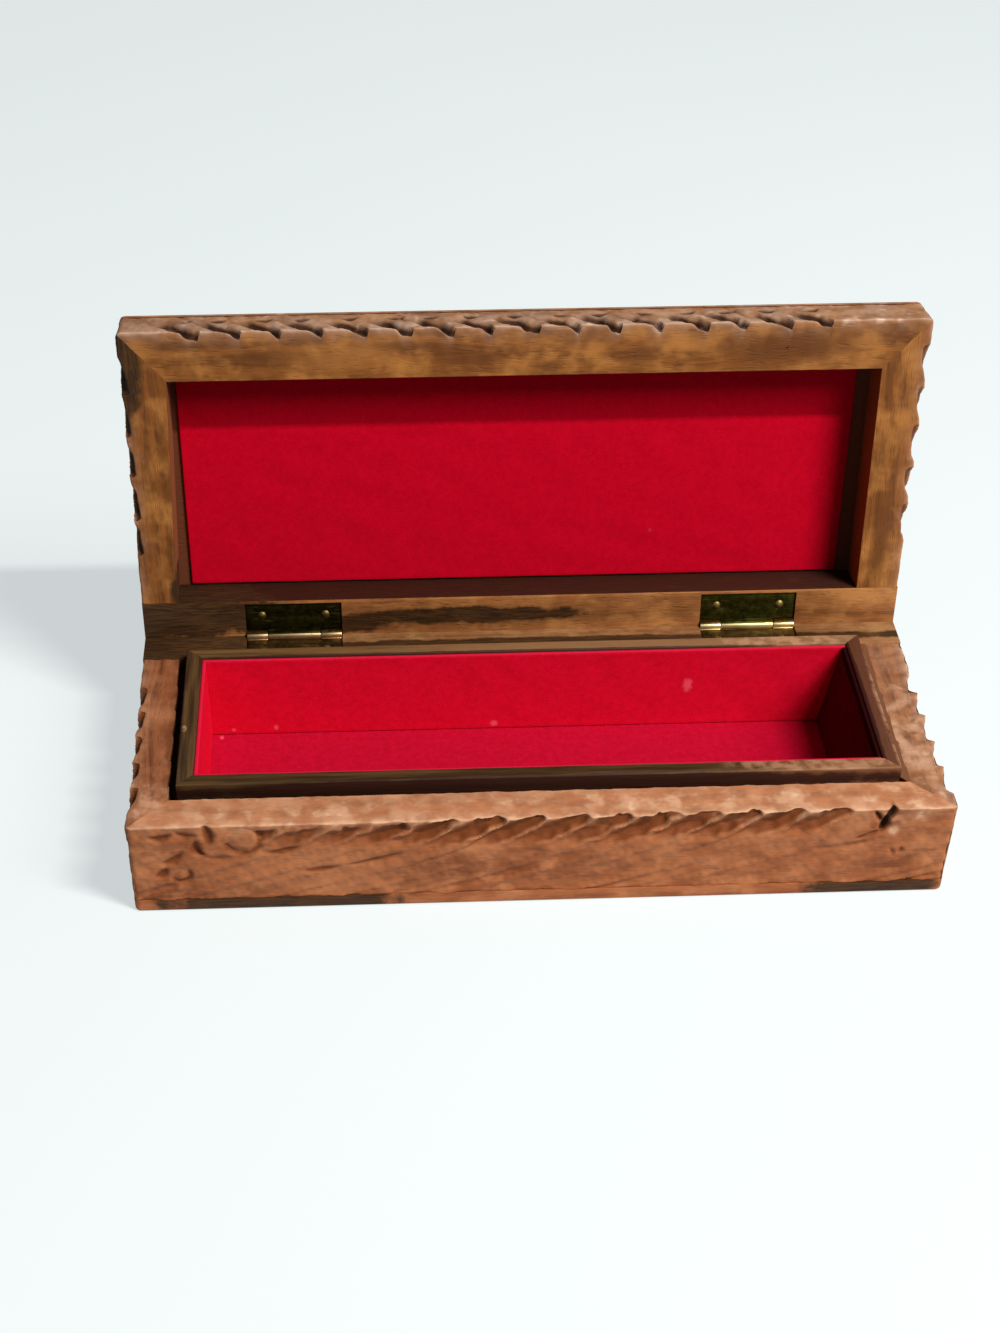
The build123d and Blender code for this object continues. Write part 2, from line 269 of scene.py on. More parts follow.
def carved_wood(name, grain, pith, tones, heartwood_and_shade=(), rubbed=(), shaded=(), lit=(), waves=1.0, cut="6A320C",
                recess="2A1408", pale="AE8062"):
    """Old oiled hardwood. Its grain runs along one direction and strays in waves, and its growth rings lie round a
    pith beside the board. Heartwood, rubbed, shaded and lit places are given as their middle and reach in millimetres.
    On the back board one of the dark places is a band of painted shade. The cuts of the carving and the recesses have
    a tone each, for dirt and painted shade, what is rubbed is pale, and so is a painted highlight on the front's
    chipped spot. Heartwood shows over all of these."""
    finish = Finish(name, OILED)
    deep, mid, light = (paint(tone) for tone in tones)
    lain = along_grain(finish, grain, pith)
    bend = finish.noise(finish.place(scale=(0.2, 1, 1), of=lain), 0.07, 2, output=1)
    bend = finish.vector("SUBTRACT", bend, (0.5, 0.5, 0.5))
    bend = finish.vector("MULTIPLY", bend, (9 * waves, 9 * waves, 9 * waves))
    waved = finish.vector("ADD", lain, bend)
    across = finish.vector("LENGTH", finish.vector("MULTIPLY", waved, (0.02, 1, 1)), output="Value")
    rings = finish.node("ShaderNodeTexNoise", {"noise_dimensions": "1D"}, {"W": across, "Scale": 0.34, "Detail": 3})
    fibre = finish.noise(finish.place(scale=(0.06, 1, 1), of=waved), 2.2, 3, 0.6)
    pores = finish.noise(finish.place(scale=(0.16, 1, 1), of=lain), 1.9, 1).rise(0.6, 0.75)
    clouds = finish.noise(lain, 0.09, 3, 0.6)
    blotches = finish.noise(finish.place(scale=(0.5, 1, 1), of=waved), 0.3, 2)
    stains = finish.noise(finish.place(scale=(0.35, 1, 1), of=lain), 0.16, 3, 0.6)
    colour = finish.mix(rings.rise(0.32, 0.62), deep, mid)
    colour = finish.mix(clouds.rise(0.42, 0.7), colour, light)
    colour = finish.mix(blotches.rise(0.5, 0.72) * 0.5, colour, light)
    colour = finish.mix(blotches.rise(0.48, 0.3) * 0.4, colour, deep)
    colour = finish.mix(stains.rise(0.56, 0.68) * 0.55, colour, deep)
    colour = finish.mix(fibre.rise(0.35, 0.7) * 0.14, colour, light)
    colour = finish.mix(fibre.rise(0.5, 0.25) * 0.22, colour, deep)
    spot = finish.place(scale=IN_MM)
    ragged = (finish.noise(spot, 0.16, 3, 0.6) - 0.5) * 1.1
    if shaded:
        colour = finish.mix(finish.near(spot, shaded, ragged * 0.6, 1.1, 0.3) * 0.85, colour, deep)
    if lit:
        colour = finish.mix(finish.near(spot, lit, ragged * 0.6, 1.2, 0.2) * 0.65, colour, light)
    colour = finish.mix(pores * 0.16, colour, paint(PORES))
    flecks = finish.noise(spot, 0.3, 1)
    mottle = finish.noise(spot, 0.2, 2, 0.55)
    # Wear, and on the front's chipped spot a painted highlight, turn the wood pale.
    wear_and_glint = finish.worked("worn_and_glinting") * (0.35 + 0.65 * mottle.rise(0.34, 0.68))
    if rubbed:
        wear_and_glint = wear_and_glint.greater(finish.near(spot, rubbed, ragged, 1.3, 0.4) * (0.1 + 0.9 * mottle.rise(0.36, 0.68)))
    colour = finish.mix(wear_and_glint * 0.85, colour, paint(pale))
    colour = finish.mix(wear_and_glint * flecks.rise(0.6, 0.8) * 0.6, colour, paint(WORN_FLECKS))
    grime_and_shade = finish.worked("groove")
    browned = grime_and_shade.rise(0, 0.55) * blotches.rise(0.1, 0.48)
    colour = finish.mix(browned * 0.95, colour, paint(cut))
    # Grooves and recesses take their own dark tone, for dirt and painted shade.
    colour = finish.mix(grime_and_shade.rise(0.74, 0.92) * (0.8 + fibre * 0.3), colour, paint(recess))
    if heartwood_and_shade:
        streaks = finish.mix(fibre.rise(0.35, 0.65), *(paint(tone) for tone in HEARTWOOD))
        colour = finish.mix(finish.near(spot, heartwood_and_shade, ragged, 1.1, 0.75) * 0.94, colour, streaks)
    height = fibre * 0.6 - pores * 0.4 + flecks * 0.6
    finish.surface(base_color=colour, roughness=0.55 + fibre * 0.14 + grime_and_shade * 0.1, bump=height, depth=0.14 * MM)
    return finish.material


def dress(node, material):
    """Gives a construction piece that stays in view its finish."""
    piece = frame["nodes"][node]
    piece.data.materials.clear()
    piece.data.materials.append(material)


BASE_TONES = ("723A1A", "98562F", "AA6A42")
foot_heartwood = [((-64, -42, 2), (33, 6, 9)), ((84, -42, 2), (17, 6, 9)), ((-92, 10, 2), (10, 60, 5))]
bottom_wood = carved_wood("bottom_wood", ALONG_BOX, (0, 31, 17), BASE_TONES, foot_heartwood)
dress("base_bottom_board", bottom_wood)


# Base front board
# A thick board mitred at both ends, with the leaf border cut into its outer face along the rim by hand:
# each leaf is one gouge stroke that starts shallow and ends deep and steep at the leaf's tip.
# All shapes are worked out in millimetres, and a finished mesh is brought to metres.
BOARD_CELL = 0.36
MITRE_EASE = 1.6
RIM_WEAR = 0.7
SEAM_EASE = 0.18
GROOVE_DROP = 3.0
LEAF_PITCH = 10.55
LEAF_GRIME = 0.68
TOUCHING = 1e-3
FACE_FADE = 0.8
RIM_FADE = 1.4
GRIME_FADE = 1.8
MOST_WORN = 3
SOFT_ANGLE = math.radians(38)


def ramp(value, low, high):
    """0 below low, 1 above high and smooth between them."""
    share = np.clip((value - low) / (high - low), 0, 1)
    return share * share * (3 - 2 * share)


def unevenness(x, y, wave, seed):
    """The gentle unevenness of handwork, about -1 to 1, its bumps about one wave apart."""
    chance = np.random.default_rng(seed)
    total = np.zeros_like(x)
    for _ in range(8):
        heading = chance.uniform(0, math.tau)
        pace = chance.uniform(0.6, 1.6) * math.tau / wave
        total += np.sin((x * math.cos(heading) + y * math.sin(heading)) * pace + chance.uniform(0, math.tau))
    return total / 4


def ease(first, second, radius):
    """Rounds the arris between two faces, given each point's distance from both."""
    corner = (first < radius) & (second < radius)
    a = radius - first
    b = radius - second
    shrink = np.where(corner, np.maximum(a, b) / np.maximum(np.hypot(a, b), 1e-9), 1)
    return radius - a * shrink, radius - b * shrink


def by_eye(tips, seed):
    """Moves the tips of a row of leaves a little, as when they are spaced by eye."""
    return tips + np.random.default_rng(seed).uniform(-0.5, 0.5, tips.size)


def leaf_strokes(u, v, tips, reach, strength, head, peak, spread, seed, slant=(1, 0.06)):
    """Depth, grime and crest of a row of leaves whose tips point along u, with v the distance from the rim.
    Each leaf is a hollow with a round head, cut by a hand that wanders a little. head is how far below the rim it
    begins, for all leaves or for each, peak is where across the leaf it is deepest at the rim, a large spread
    makes it narrow, and slant is how the strokes lean and bend."""
    chance = np.random.default_rng(seed)
    u = u + 0.6 * unevenness(u, v, 7, seed + 3)
    v = np.maximum(v + 0.35 * unevenness(u, v, 5, seed + 4), 0)
    meets_rim = u + slant[0] * v + slant[1] * v * v
    depth = np.zeros_like(u)
    grime_and_shade = np.zeros_like(u)
    crest = np.zeros_like(u)
    for start, end, own_head in zip(tips[:-1], tips[1:], np.broadcast_to(head, len(tips) - 1)):
        share = (meets_rim - start) / (end - start)
        inside = (share > 0) & (share < 1)
        share = np.clip(share, 0, 1)
        own_depth = strength * chance.uniform(0.85, 1.15)
        own_reach = reach * chance.uniform(0.85, 1.15)
        deepest = peak + (0.25 - peak) * np.clip(v / own_reach, 0, 1)
        hollow = np.sin(math.pi / 2 * np.minimum(share / deepest, (1 - share) / (1 - deepest))) ** spread
        drop = own_head + 1.6 * (1 - hollow)
        top = ramp(v, drop - 0.7, drop + 0.8)
        fade = top * (1 - ramp(v, 0.4 * own_reach, own_reach))
        depth += inside * own_depth * hollow * fade
        # Dirt darkens each hollow. It is darkest on the deep side of the head, where it is painted shade as well.
        dark = (0.5 + 0.5 * ramp(share, 0.3, 0.8)) * (0.8 + 0.45 * ramp(v, 0.3 * own_reach, 0.6 * own_reach))
        grime_and_shade += inside * np.clip(1.6 * hollow - 0.3, 0, 1) * fade * dark
        crest += inside * 0.5 * (1 - hollow) ** 3 * (1 - ramp(v, 0.3 * own_reach, 0.8 * own_reach))
        stem = np.exp(-((share - 0.2) * (end - start) / 0.6) ** 2)
        stem *= ramp(v, 0.45 * own_reach, 0.7 * own_reach) * (1 - ramp(v, own_reach * 1.25, own_reach * 1.9))
        stem *= chance.uniform(0, 0.55)
        depth += inside * stem * 0.4
        grime_and_shade += inside * stem * 0.45
    return depth, np.minimum(grime_and_shade, LEAF_GRIME), crest


def scraped(u, v, mean, broad, fine, seed):
    """How deep a scraper has hollowed an outer face, in broad and in fine marks."""
    return mean + broad * unevenness(u, v, 6, seed) + fine * unevenness(u, v, 2.2, seed + 1)


def nicked(u, v, nicks):
    """Depth of short curved cuts, each given by its middle, length, width, heading in degrees, bend and depth."""
    depth = np.zeros_like(u)
    for middle_u, middle_v, length, width, heading, bend, cut in nicks:
        turned = math.radians(heading)
        along = (u - middle_u) * math.cos(turned) + (v - middle_v) * math.sin(turned)
        aside = (v - middle_v) * math.cos(turned) - (u - middle_u) * math.sin(turned)
        aside = (aside - bend * along * along) / (width * (1.2 - 0.5 * np.clip(np.abs(along) / length, 0, 1)))
        depth = np.maximum(depth, cut * np.exp(-((along / length) ** 4) - aside**2))
    return depth


def mesh_points(piece):
    """The points of a piece's mesh, a row each."""
    flat = np.zeros(len(piece.data.vertices) * 3)
    piece.data.vertices.foreach_get("co", flat)
    return flat.reshape(-1, 3)


def turn_faces_outward():
    """Turns every face of the active piece outward."""
    bpy.ops.object.mode_set(mode="EDIT")
    bpy.ops.mesh.select_all(action="SELECT")
    bpy.ops.mesh.normals_make_consistent(inside=False)
    bpy.ops.object.mode_set(mode="OBJECT")


def thin_sheet(name, length, height, cell):
    """A sheet of small cells with one corner at the origin, left open in edit mode."""
    columns = round(length / cell)
    rows = round(height / cell)
    bpy.ops.mesh.primitive_grid_add(x_subdivisions=columns, y_subdivisions=rows, size=1)
    sheet = bpy.context.object
    sheet.name = name
    bpy.ops.object.mode_set(mode="EDIT")
    bpy.ops.transform.resize(value=(length, height, 1))
    bpy.ops.transform.translate(value=(length / 2, height / 2, 0))
    return sheet


def settle(piece, points, angle):
    """Gives the active piece its points in millimetres, and shades it smooth where it bends less than an angle."""
    piece.data.vertices.foreach_set("co", (points * MM).ravel())
    piece.data.update()
    turn_faces_outward()
    bpy.ops.object.shade_smooth_by_angle(angle=angle)


def carved_board(name, size, cell, rings, shape, place):
    """A board from a grid of small cells for its outer face, drawn back ring by ring to its thickness and then
    shaped. shape gives each point's new (u, v, w), its dirt with painted shade, and its rubbing with the front's
    painted highlight, and place says where the board stands, in millimetres."""
    length, height, thickness = size
    board = thin_sheet(name, length, height, cell)
    bpy.ops.mesh.select_mode(type="EDGE")
    bpy.ops.mesh.select_all(action="DESELECT")
    bpy.ops.mesh.select_non_manifold(
        extend=False, use_wire=False, use_multi_face=False, use_non_contiguous=False, use_verts=False
    )
    reached = 0
    for ring in (*rings, thickness):
        bpy.ops.mesh.extrude_edges_move(TRANSFORM_OT_translate={"value": (0, 0, ring - reached)})
        reached = ring
    bpy.ops.mesh.edge_face_add()
    bpy.ops.object.mode_set(mode="OBJECT")
    *shaped, grime_and_shade, wear_and_glint = shape(*(values.copy() for values in mesh_points(board).T))
    for attribute, values in (("groove", grime_and_shade), ("worn_and_glinting", wear_and_glint)):
        values = np.clip(values, 0, MOST_WORN)
        board.data.attributes.new(attribute, "FLOAT", "POINT").data.foreach_set("value", values)
    settle(board, place(np.stack(shaped, axis=1)), SOFT_ANGLE)
    return board


def stand(corner, along, down, inward):
    """Places a board by the corner of its outer face and the directions of its length, its width and its thickness."""
    axes = np.array([along, down, inward], float)
    return lambda points: np.array(corner) + points @ axes


def finished(piece, node, material, body):
    """Gives a new piece its finish and its body, and lets it stand for a construction piece."""
    piece.data.materials.append(material)
    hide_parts(node)
    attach(piece, body)
    bpy.ops.object.select_all(action="DESELECT")


def corner_mm(node):
    """The lowest and highest corner of a construction piece, in millimetres."""
    return [np.array(corner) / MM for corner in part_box(node)]


foot_low, foot_high = corner_mm("base_bottom_board")
liner_low, liner_high = corner_mm("liner_front_strip")
RIM_Z = corner_mm("base_front_board")[1][2]
BOX_LENGTH = foot_high[0] - foot_low[0]
BOX_DEPTH = foot_high[1] - foot_low[1]
WALL_HEIGHT = RIM_Z - foot_high[2]
FRONT_WALL = liner_low[1] - foot_low[1]
END_WALL = liner_low[0] - foot_low[0]
FRONT_GROOVE = 2.0
END_GROOVE = 2.4
FRONT_RIM = FRONT_WALL - FRONT_GROOVE
END_RIM = END_WALL - END_GROOVE
RINGS = (0.2, 0.45, 0.8, 1.3, 2, 3, 4.2, 6, 8)
FRONT_FIRST_LEAF = 29.75
FRONT_LEAVES = 15
SCROLL_NICKS = (
    (20.0, 2.8, 3.0, 1.1, 82, 0.06, 1.0),
    (16.6, 7.4, 2.4, 1.1, 70, -0.18, 1.3),
    (14.4, 3.0, 2.6, 0.9, 10, -0.1, 0.6),
    (8.4, 3.6, 2.6, 0.9, 170, 0.1, 0.8),
    (8.0, 14.8, 2.0, 1.0, 140, 0.1, 0.9),
    (11.0, 10.6, 3.2, 0.9, 145, 0.08, 0.7),
    (24.0, 10.4, 5.0, 0.9, 178, 0.02, 0.45),
    (38.0, 8.4, 4.2, 0.9, 168, 0.03, 0.8),
    (47.0, 14.6, 4.5, 0.8, 172, 0.02, 0.7),
    (61.0, 12.0, 7.0, 0.7, 165, 0.01, 0.6),
    (188.6, 13.6, 1.1, 0.7, 60, 0.2, 0.5),
    (190.6, 13.2, 1.1, 0.7, 115, 0.2, 0.5),
    (176.0, 11.5, 8.0, 0.8, 172, 0.01, 0.35),
)
CHIP = (
    (183.6, 2.4, 1.9, 0.6, 58, 0.05, 1.1),
    (186.6, 1.5, 2.4, 0.8, 112, 0.05, 1.9),
    (185.3, 4.6, 2.5, 0.8, 103, 0.04, 2.2),
    (182.0, 7.9, 3.4, 0.55, 157, 0.02, 0.8),
)
# Where the painted highlight lies, on the pale chipped spot beside the chip.
PAINTED_GLINT = (187.8, 6.6)
# Each bud's middle and radius, and how strongly it is cut.
BUDS = ((28.2, 4.6, 4.2, 0.75), (12.5, 15.2, 2.2, 1.0))


def front_carving(u, v):
    """The front's leaf border, whose first leaves are low and gentle, with a scroll and buds at its left end, and
    at its right end a deep chip beside a pale chipped spot with a painted highlight on it."""
    tips = by_eye(FRONT_FIRST_LEAF + LEAF_PITCH * np.arange(FRONT_LEAVES), 4)
    heads = 1.8 - 2.0 * ramp(tips[:-1], 45, 85)
    depth, grime_and_shade, crest = leaf_strokes(u, v, tips, reach=9.5, strength=1.7, head=heads, peak=0.74, spread=0.8, seed=11)
    gentle = 0.6 + 0.4 * ramp(u, 40, 90)
    depth *= gentle
    grime_and_shade *= gentle
    for middle_u, middle_v, radius, strength in BUDS:
        away = np.hypot(u - middle_u, v - middle_v)
        below = ramp((u - middle_u) * 0.5 + (v - middle_v), -0.8 * radius, 0.6 * radius)
        ring = np.exp(-((away - radius) / (0.16 * radius + 0.3)) ** 2) * (0.2 + 0.8 * below) * strength
        within = 1 - ramp(away, radius - 0.9, radius + 0.1)
        depth = depth * (1 - within) + 0.7 * ring + 0.3 * within * ramp(away, 0, radius)
        grime_and_shade = grime_and_shade * (1 - within) + 0.5 * ring
    scroll = nicked(u, v, SCROLL_NICKS)
    chip = nicked(u, v, CHIP)
    depth += scroll + chip
    grime_and_shade = np.minimum(np.maximum(grime_and_shade, 0.75 * scroll), LEAF_GRIME)
    grime_and_shade = np.maximum(grime_and_shade, chip * 0.85)
    low = ramp(v, 7, 12)
    depth += low * (0.25 + 0.25 * unevenness(u + v + 0.06 * v * v, v * 0.3, 9, 21))
    depth += scraped(u, v, 0.12, 0.12, 0.06, 22)
    # A painted highlight on the pale chipped spot, laid on the crests so that it turns pale.
    painted_glint = np.exp(-((u - PAINTED_GLINT[0]) ** 2 + (v - PAINTED_GLINT[1]) ** 2) / 0.9)
    return np.maximum(depth, 0), grime_and_shade, np.maximum(crest, 6 * painted_glint)


def wall_shape(size, rim, mitres, carving, seed, groove_from=-1.0, drop=GROOVE_DROP, bare_and_sheen=0.0, rim_bare=0.0,
               rough=0.08):
    """How a wall of the base or the lid is shaped: mitred, eased, carved, and from one place along it cut down
    behind its rim. Two arguments say how pale the outer face and the rim are all over: on the face for wear and a
    painted sheen, on the rim for wear. rough is how uneven the rim is."""
    length, height, thickness = size
    left, right = mitres

    def shape(u, v, w):
        on_rim = v < TOUCHING
        on_face = w < TOUCHING
        inner = w > thickness - TOUCHING
        share = u / length
        u = u + w * left * (1 - share) - w * right * share
        if left:
            u, w = ease(u, w, MITRE_EASE)
        if right:
            far, w = ease(length - u, w, MITRE_EASE)
            u = length - far
        depth, grime_and_shade, crest = carving(u, v)
        edge = np.where(on_face, v, w)
        wear_and_glint = np.exp(-edge / np.where(on_face, FACE_FADE, RIM_FADE)) * (on_face | on_rim)
        # On the front the crests also carry the painted highlight of its chipped spot.
        wear_and_glint = wear_and_glint + (crest + bare_and_sheen) * on_face + rim_bare * on_rim
        v, w = ease(v, w, RIM_WEAR)
        far, w = ease(height - v, w, SEAM_EASE)
        v = height - far
        behind = (w > rim) & (u > groove_from)
        step = on_rim & behind
        v = np.where(on_rim & ~step, v + rough * np.maximum(1 + unevenness(u, w, 5, seed), 0), v)
        v = np.where((v < drop) & behind, drop, v)
        w = w + depth * (1 - w / thickness)
        grime_and_shade = grime_and_shade * (on_face + on_rim * np.exp(-w / GRIME_FADE))
        # The groove behind the rim and the inner faces take the darkest tone, for dirt and painted shade.
        return u, v, w, np.maximum(grime_and_shade, step | inner), wear_and_glint

    return shape


front_size = (BOX_LENGTH, WALL_HEIGHT, FRONT_WALL)
front_rings = (*RINGS, 9.6, FRONT_RIM - 0.002, FRONT_RIM + 0.002)
front_mitres = (END_WALL / FRONT_WALL, END_WALL / FRONT_WALL)
front_shape = wall_shape(front_size, FRONT_RIM, front_mitres, front_carving, seed=31, rim_bare=0.6)
front_place = stand((foot_low[0], foot_low[1], RIM_Z), (1, 0, 0), (0, 0, -1), (0, 1, 0))
front_board = carved_board("carved_base_front", front_size, BOARD_CELL, front_rings, front_shape, front_place)
# The last rubbed place is the pale chipped spot with its painted highlight.
rubbed_rim_and_glint = [((40, -37, 27), (62, 7, 4)), ((88, -36, 27), (16, 10, 6)), ((-64, -38, 27), (40, 5, 4)),
              ((86.3, -42, 20), (1.1, 2, 1))]
front_lights = [((-56, -42, 12), (32, 5, 12))]
front_wood = carved_wood("base_front_wood", ALONG_BOX, (0, 24, -9), BASE_TONES, rubbed=rubbed_rim_and_glint,
                         lit=front_lights, pale="C49674")
finished(front_board, "base_front_board", front_wood, "base")


# Base end boards
# Mitred to the front board and butted against the back board, with the same leaves, whose tips
# point to the back on the left end and to the front on the right end.
END_LENGTH = BOX_DEPTH - FRONT_WALL
end_size = (END_LENGTH, WALL_HEIGHT, END_WALL)
end_rings = (*RINGS, END_RIM - 0.002, END_RIM + 0.002)
END_FIRST_LEAF = 6.1
END_LEAVES = 6


def end_carving(length, toward_back, reach, seed):
    """The leaf border of one end, which starts a little way behind the front corner."""

    def carving(u, v):
        along = u
        tips = END_FIRST_LEAF + LEAF_PITCH * np.arange(END_LEAVES)
        if not toward_back:
            along = length - u
            tips = length - tips[::-1]
        tips = by_eye(tips, seed)
        depth, grime_and_shade, crest = leaf_strokes(along, v, tips, reach, strength=1.75, head=-1.2, peak=0.88, spread=0.9,
                                           seed=seed)
        depth = depth + scraped(u, v, 0.08, 0.1, 0.05, seed + 1)
        return np.maximum(depth, 0), grime_and_shade, crest

    return carving


end_mitre = (FRONT_WALL / END_WALL, 0)
left_carving = end_carving(END_LENGTH, toward_back=True, reach=9.5, seed=41)
left_shape = wall_shape(end_size, END_RIM, end_mitre, left_carving, seed=42, groove_from=FRONT_RIM)
# The groove beside the right strip is filled nearly flush.
right_carving = end_carving(END_LENGTH, toward_back=False, reach=9.5, seed=51)
right_shape = wall_shape(end_size, END_RIM, end_mitre, right_carving, seed=52, groove_from=FRONT_RIM, drop=0.1,
                         rim_bare=0.3, rough=0.28)
left_place = stand((foot_low[0], foot_low[1], RIM_Z), (0, 1, 0), (0, 0, -1), (1, 0, 0))
right_place = stand((foot_high[0], foot_low[1], RIM_Z), (0, 1, 0), (0, 0, -1), (-1, 0, 0))
ACROSS_BOX = (0, 1, 0)
LEFT_TONES = ("5A2E14", "7E482A", "98603E")
RIGHT_TONES = ("5A3018", "7E4C2C", "96643E")
left_board = carved_board("carved_base_left_end", end_size, BOARD_CELL, end_rings, left_shape, left_place)
rubbed_left = [((-95, -33, 27), (8, 9, 4))]
left_wood = carved_wood("base_left_wood", ACROSS_BOX, (13, 19, -12), LEFT_TONES, rubbed=rubbed_left, pale="B88868")
finished(left_board, "base_left_board", left_wood, "base")
right_board = carved_board("carved_base_right_end", end_size, BOARD_CELL, end_rings, right_shape, right_place)
rubbed_right = [((97, -16, 27), (9, 34, 7)), ((94, -34, 27), (10, 9, 5))]
right_wood = carved_wood("base_right_wood", ACROSS_BOX, (31, -22, 8), RIGHT_TONES, rubbed=rubbed_right,
                         recess="6A422A", pale="B48A6E")
finished(right_board, "base_right_board", right_wood, "base")


# Base back board
# A full-length board behind the ends, mortised for the hinge leaves and bevelled so that the open lid
# rests against it. Its left end is dark heartwood.
BOARD_ARRIS = 0.2
SHARP_ANGLE = math.radians(40)


def eased_copy(node, name, arris):
    """A construction piece with its sharp arrises taken off, as by a few strokes of fine paper."""
    source = frame["nodes"][node]
    piece = source.copy()
    piece.data = source.data.copy()
    for key in list(piece.keys()):
        del piece[key]
    piece.parent = None
    piece.name = name
    bpy.context.collection.objects.link(piece)
    bpy.ops.object.select_all(action="DESELECT")
    piece.select_set(True)
    bpy.context.view_layer.objects.active = piece
    piece.data.materials.clear()
    bpy.ops.object.mode_set(mode="EDIT")
    bpy.ops.mesh.select_all(action="SELECT")
    bpy.ops.mesh.remove_doubles(threshold=0.002 * MM)
    bpy.ops.mesh.dissolve_limited(angle_limit=math.radians(2))
    bpy.ops.object.mode_set(mode="OBJECT")
    if piece.data.has_custom_normals:
        bpy.ops.mesh.customdata_custom_splitnormals_clear()
    bevel = piece.modifiers.new("eased", "BEVEL")
    bevel.width = arris * MM
    bevel.segments = 2
    bevel.limit_method = "ANGLE"
    bevel.angle_limit = SHARP_ANGLE
    bpy.ops.object.modifier_apply(modifier="eased")
    bpy.ops.object.shade_smooth_by_angle(angle=SOFT_ANGLE)
    return piece


BACK_TONES = ("603C1C", "805230", "946A42")
base_back = eased_copy("base_back_board", "base_back", BOARD_ARRIS)
# The long band along the top, just behind the back strip, is painted shade in the seam; the other places are
# heartwood.
back_heartwood_and_shade = [((-88, 36, 24), (26, 14, 14)), ((-36, 44, 15), (34, 5, 2.5)), ((46, 44, 9), (28, 5, 2)),
                  ((0, 33.6, 26.5), (130, 2.4, 3))]
back_wood = carved_wood("base_back_wood", ALONG_BOX, (0, -18, -21), BACK_TONES, back_heartwood_and_shade)
finished(base_back, "base_back_board", back_wood, "base")


# Liner strips
# Thin strips glued inside the walls and mitred into a frame. They stand above the rim as a lip that the
# lid closes over. They are darker than the walls, but tan at the back and at the right end.
def liner_wood(name, grain, pith, tones, tan_from, tan_to, dark_bands, rubbed):
    """Darker wood that turns tan along the box from one place to another, with dark bands and rubbed places, all
    given in millimetres."""
    finish = Finish(name, OILED)
    deep, mid, tan = (paint(tone) for tone in tones)
    lain = along_grain(finish, grain, pith)
    fibre = finish.noise(finish.place(scale=(0.06, 1, 1), of=lain), 2.2, 3, 0.6)
    bands = finish.noise(finish.place(scale=(0.05, 1, 1), of=lain), 0.6, 3, 0.6)
    spot = finish.place(scale=IN_MM)
    along = finish.node("ShaderNodeSeparateXYZ", None, {"Vector": spot})
    clouds = finish.noise(spot, 0.12, 4, 0.65)
    flecks = finish.noise(spot, 0.3, 2, 0.55)
    colour = finish.mix(bands.rise(0.35, 0.65), deep, mid)
    colour = finish.mix((along + clouds * 30 - 15).rise(tan_from, tan_to), colour, tan)
    colour = finish.mix(fibre.rise(0.5, 0.25) * 0.35, colour, deep)
    ragged = (clouds - 0.5) * 0.8
    rubbing = finish.near(spot, rubbed, ragged, 1.1, 0.6) * flecks.rise(0.36, 0.6)
    colour = finish.mix(rubbing * 0.7, colour, paint("A07658"))
    # Dark bands along the strips' edges.
    colour = finish.mix(finish.near(spot, dark_bands, ragged, 1.1, 0.8) * 0.9, colour, paint("2C0E06"))
    finish.surface(base_color=colour, roughness=0.55 + fibre * 0.14, bump=fibre, depth=0.12 * MM)
    return finish.material


STRIP_ARRIS = 0.12
TOP = liner_high[2]
DARK_LINER = ("2C1C0A", "50391C", "744A2E")
TAN_LINER = ("422D14", "684A26", "765434")
RIM_LINER = ("301A0A", "48261A", "583220")
# Each strip's side, grain, pith and tones, where along the box it turns tan, and its dark bands and rubbed places.
LINERS = (
    ("front", ALONG_BOX, (3, 11, 5), DARK_LINER, 40, 75,
     [((0, -29.2, 26.6), (95, 0.9, 3.2))], [((70, -26, TOP), (26, 4, 1))]),
    ("back", ALONG_BOX, (9, -7, 2), TAN_LINER, -60, 0,
     [((-10, 25.0, TOP), (90, 0.7, 1.2))], [((70, 27, TOP), (20, 3, 1))]),
    ("left", ACROSS_BOX, (5, 3, 13), DARK_LINER, 150, 190,
     [((-89.5, 0, 27), (0.7, 40, 3))], [((-88.5, -6, TOP), (0.7, 1.5, 1))]),
    ("right", ACROSS_BOX, (1, -9, 4), RIM_LINER, 0, 60,
     [((85.4, 0, TOP), (1.1, 40, 2))], [((89.9, -4, TOP), (1.6, 30, 2))]),
)
for side, grain, pith, tones, tan_from, tan_to, dark_bands, rubbed in LINERS:
    strip = eased_copy(f"liner_{side}_strip", f"liner_{side}", STRIP_ARRIS)
    strip_wood = liner_wood(f"liner_{side}_wood", grain, pith, tones, tan_from, tan_to, dark_bands, rubbed)
    finished(strip, f"liner_{side}_strip", strip_wood, "base")


# Felt lining of the compartment
# Crimson felt cut to size and glued down flat: first the floor, then the long walls, then the ends.
# Its cut top edges catch the light and look paler.
FELT_CELL = 1.1
FELT_DENT = 0.12
FELT_ANGLE = math.radians(50)


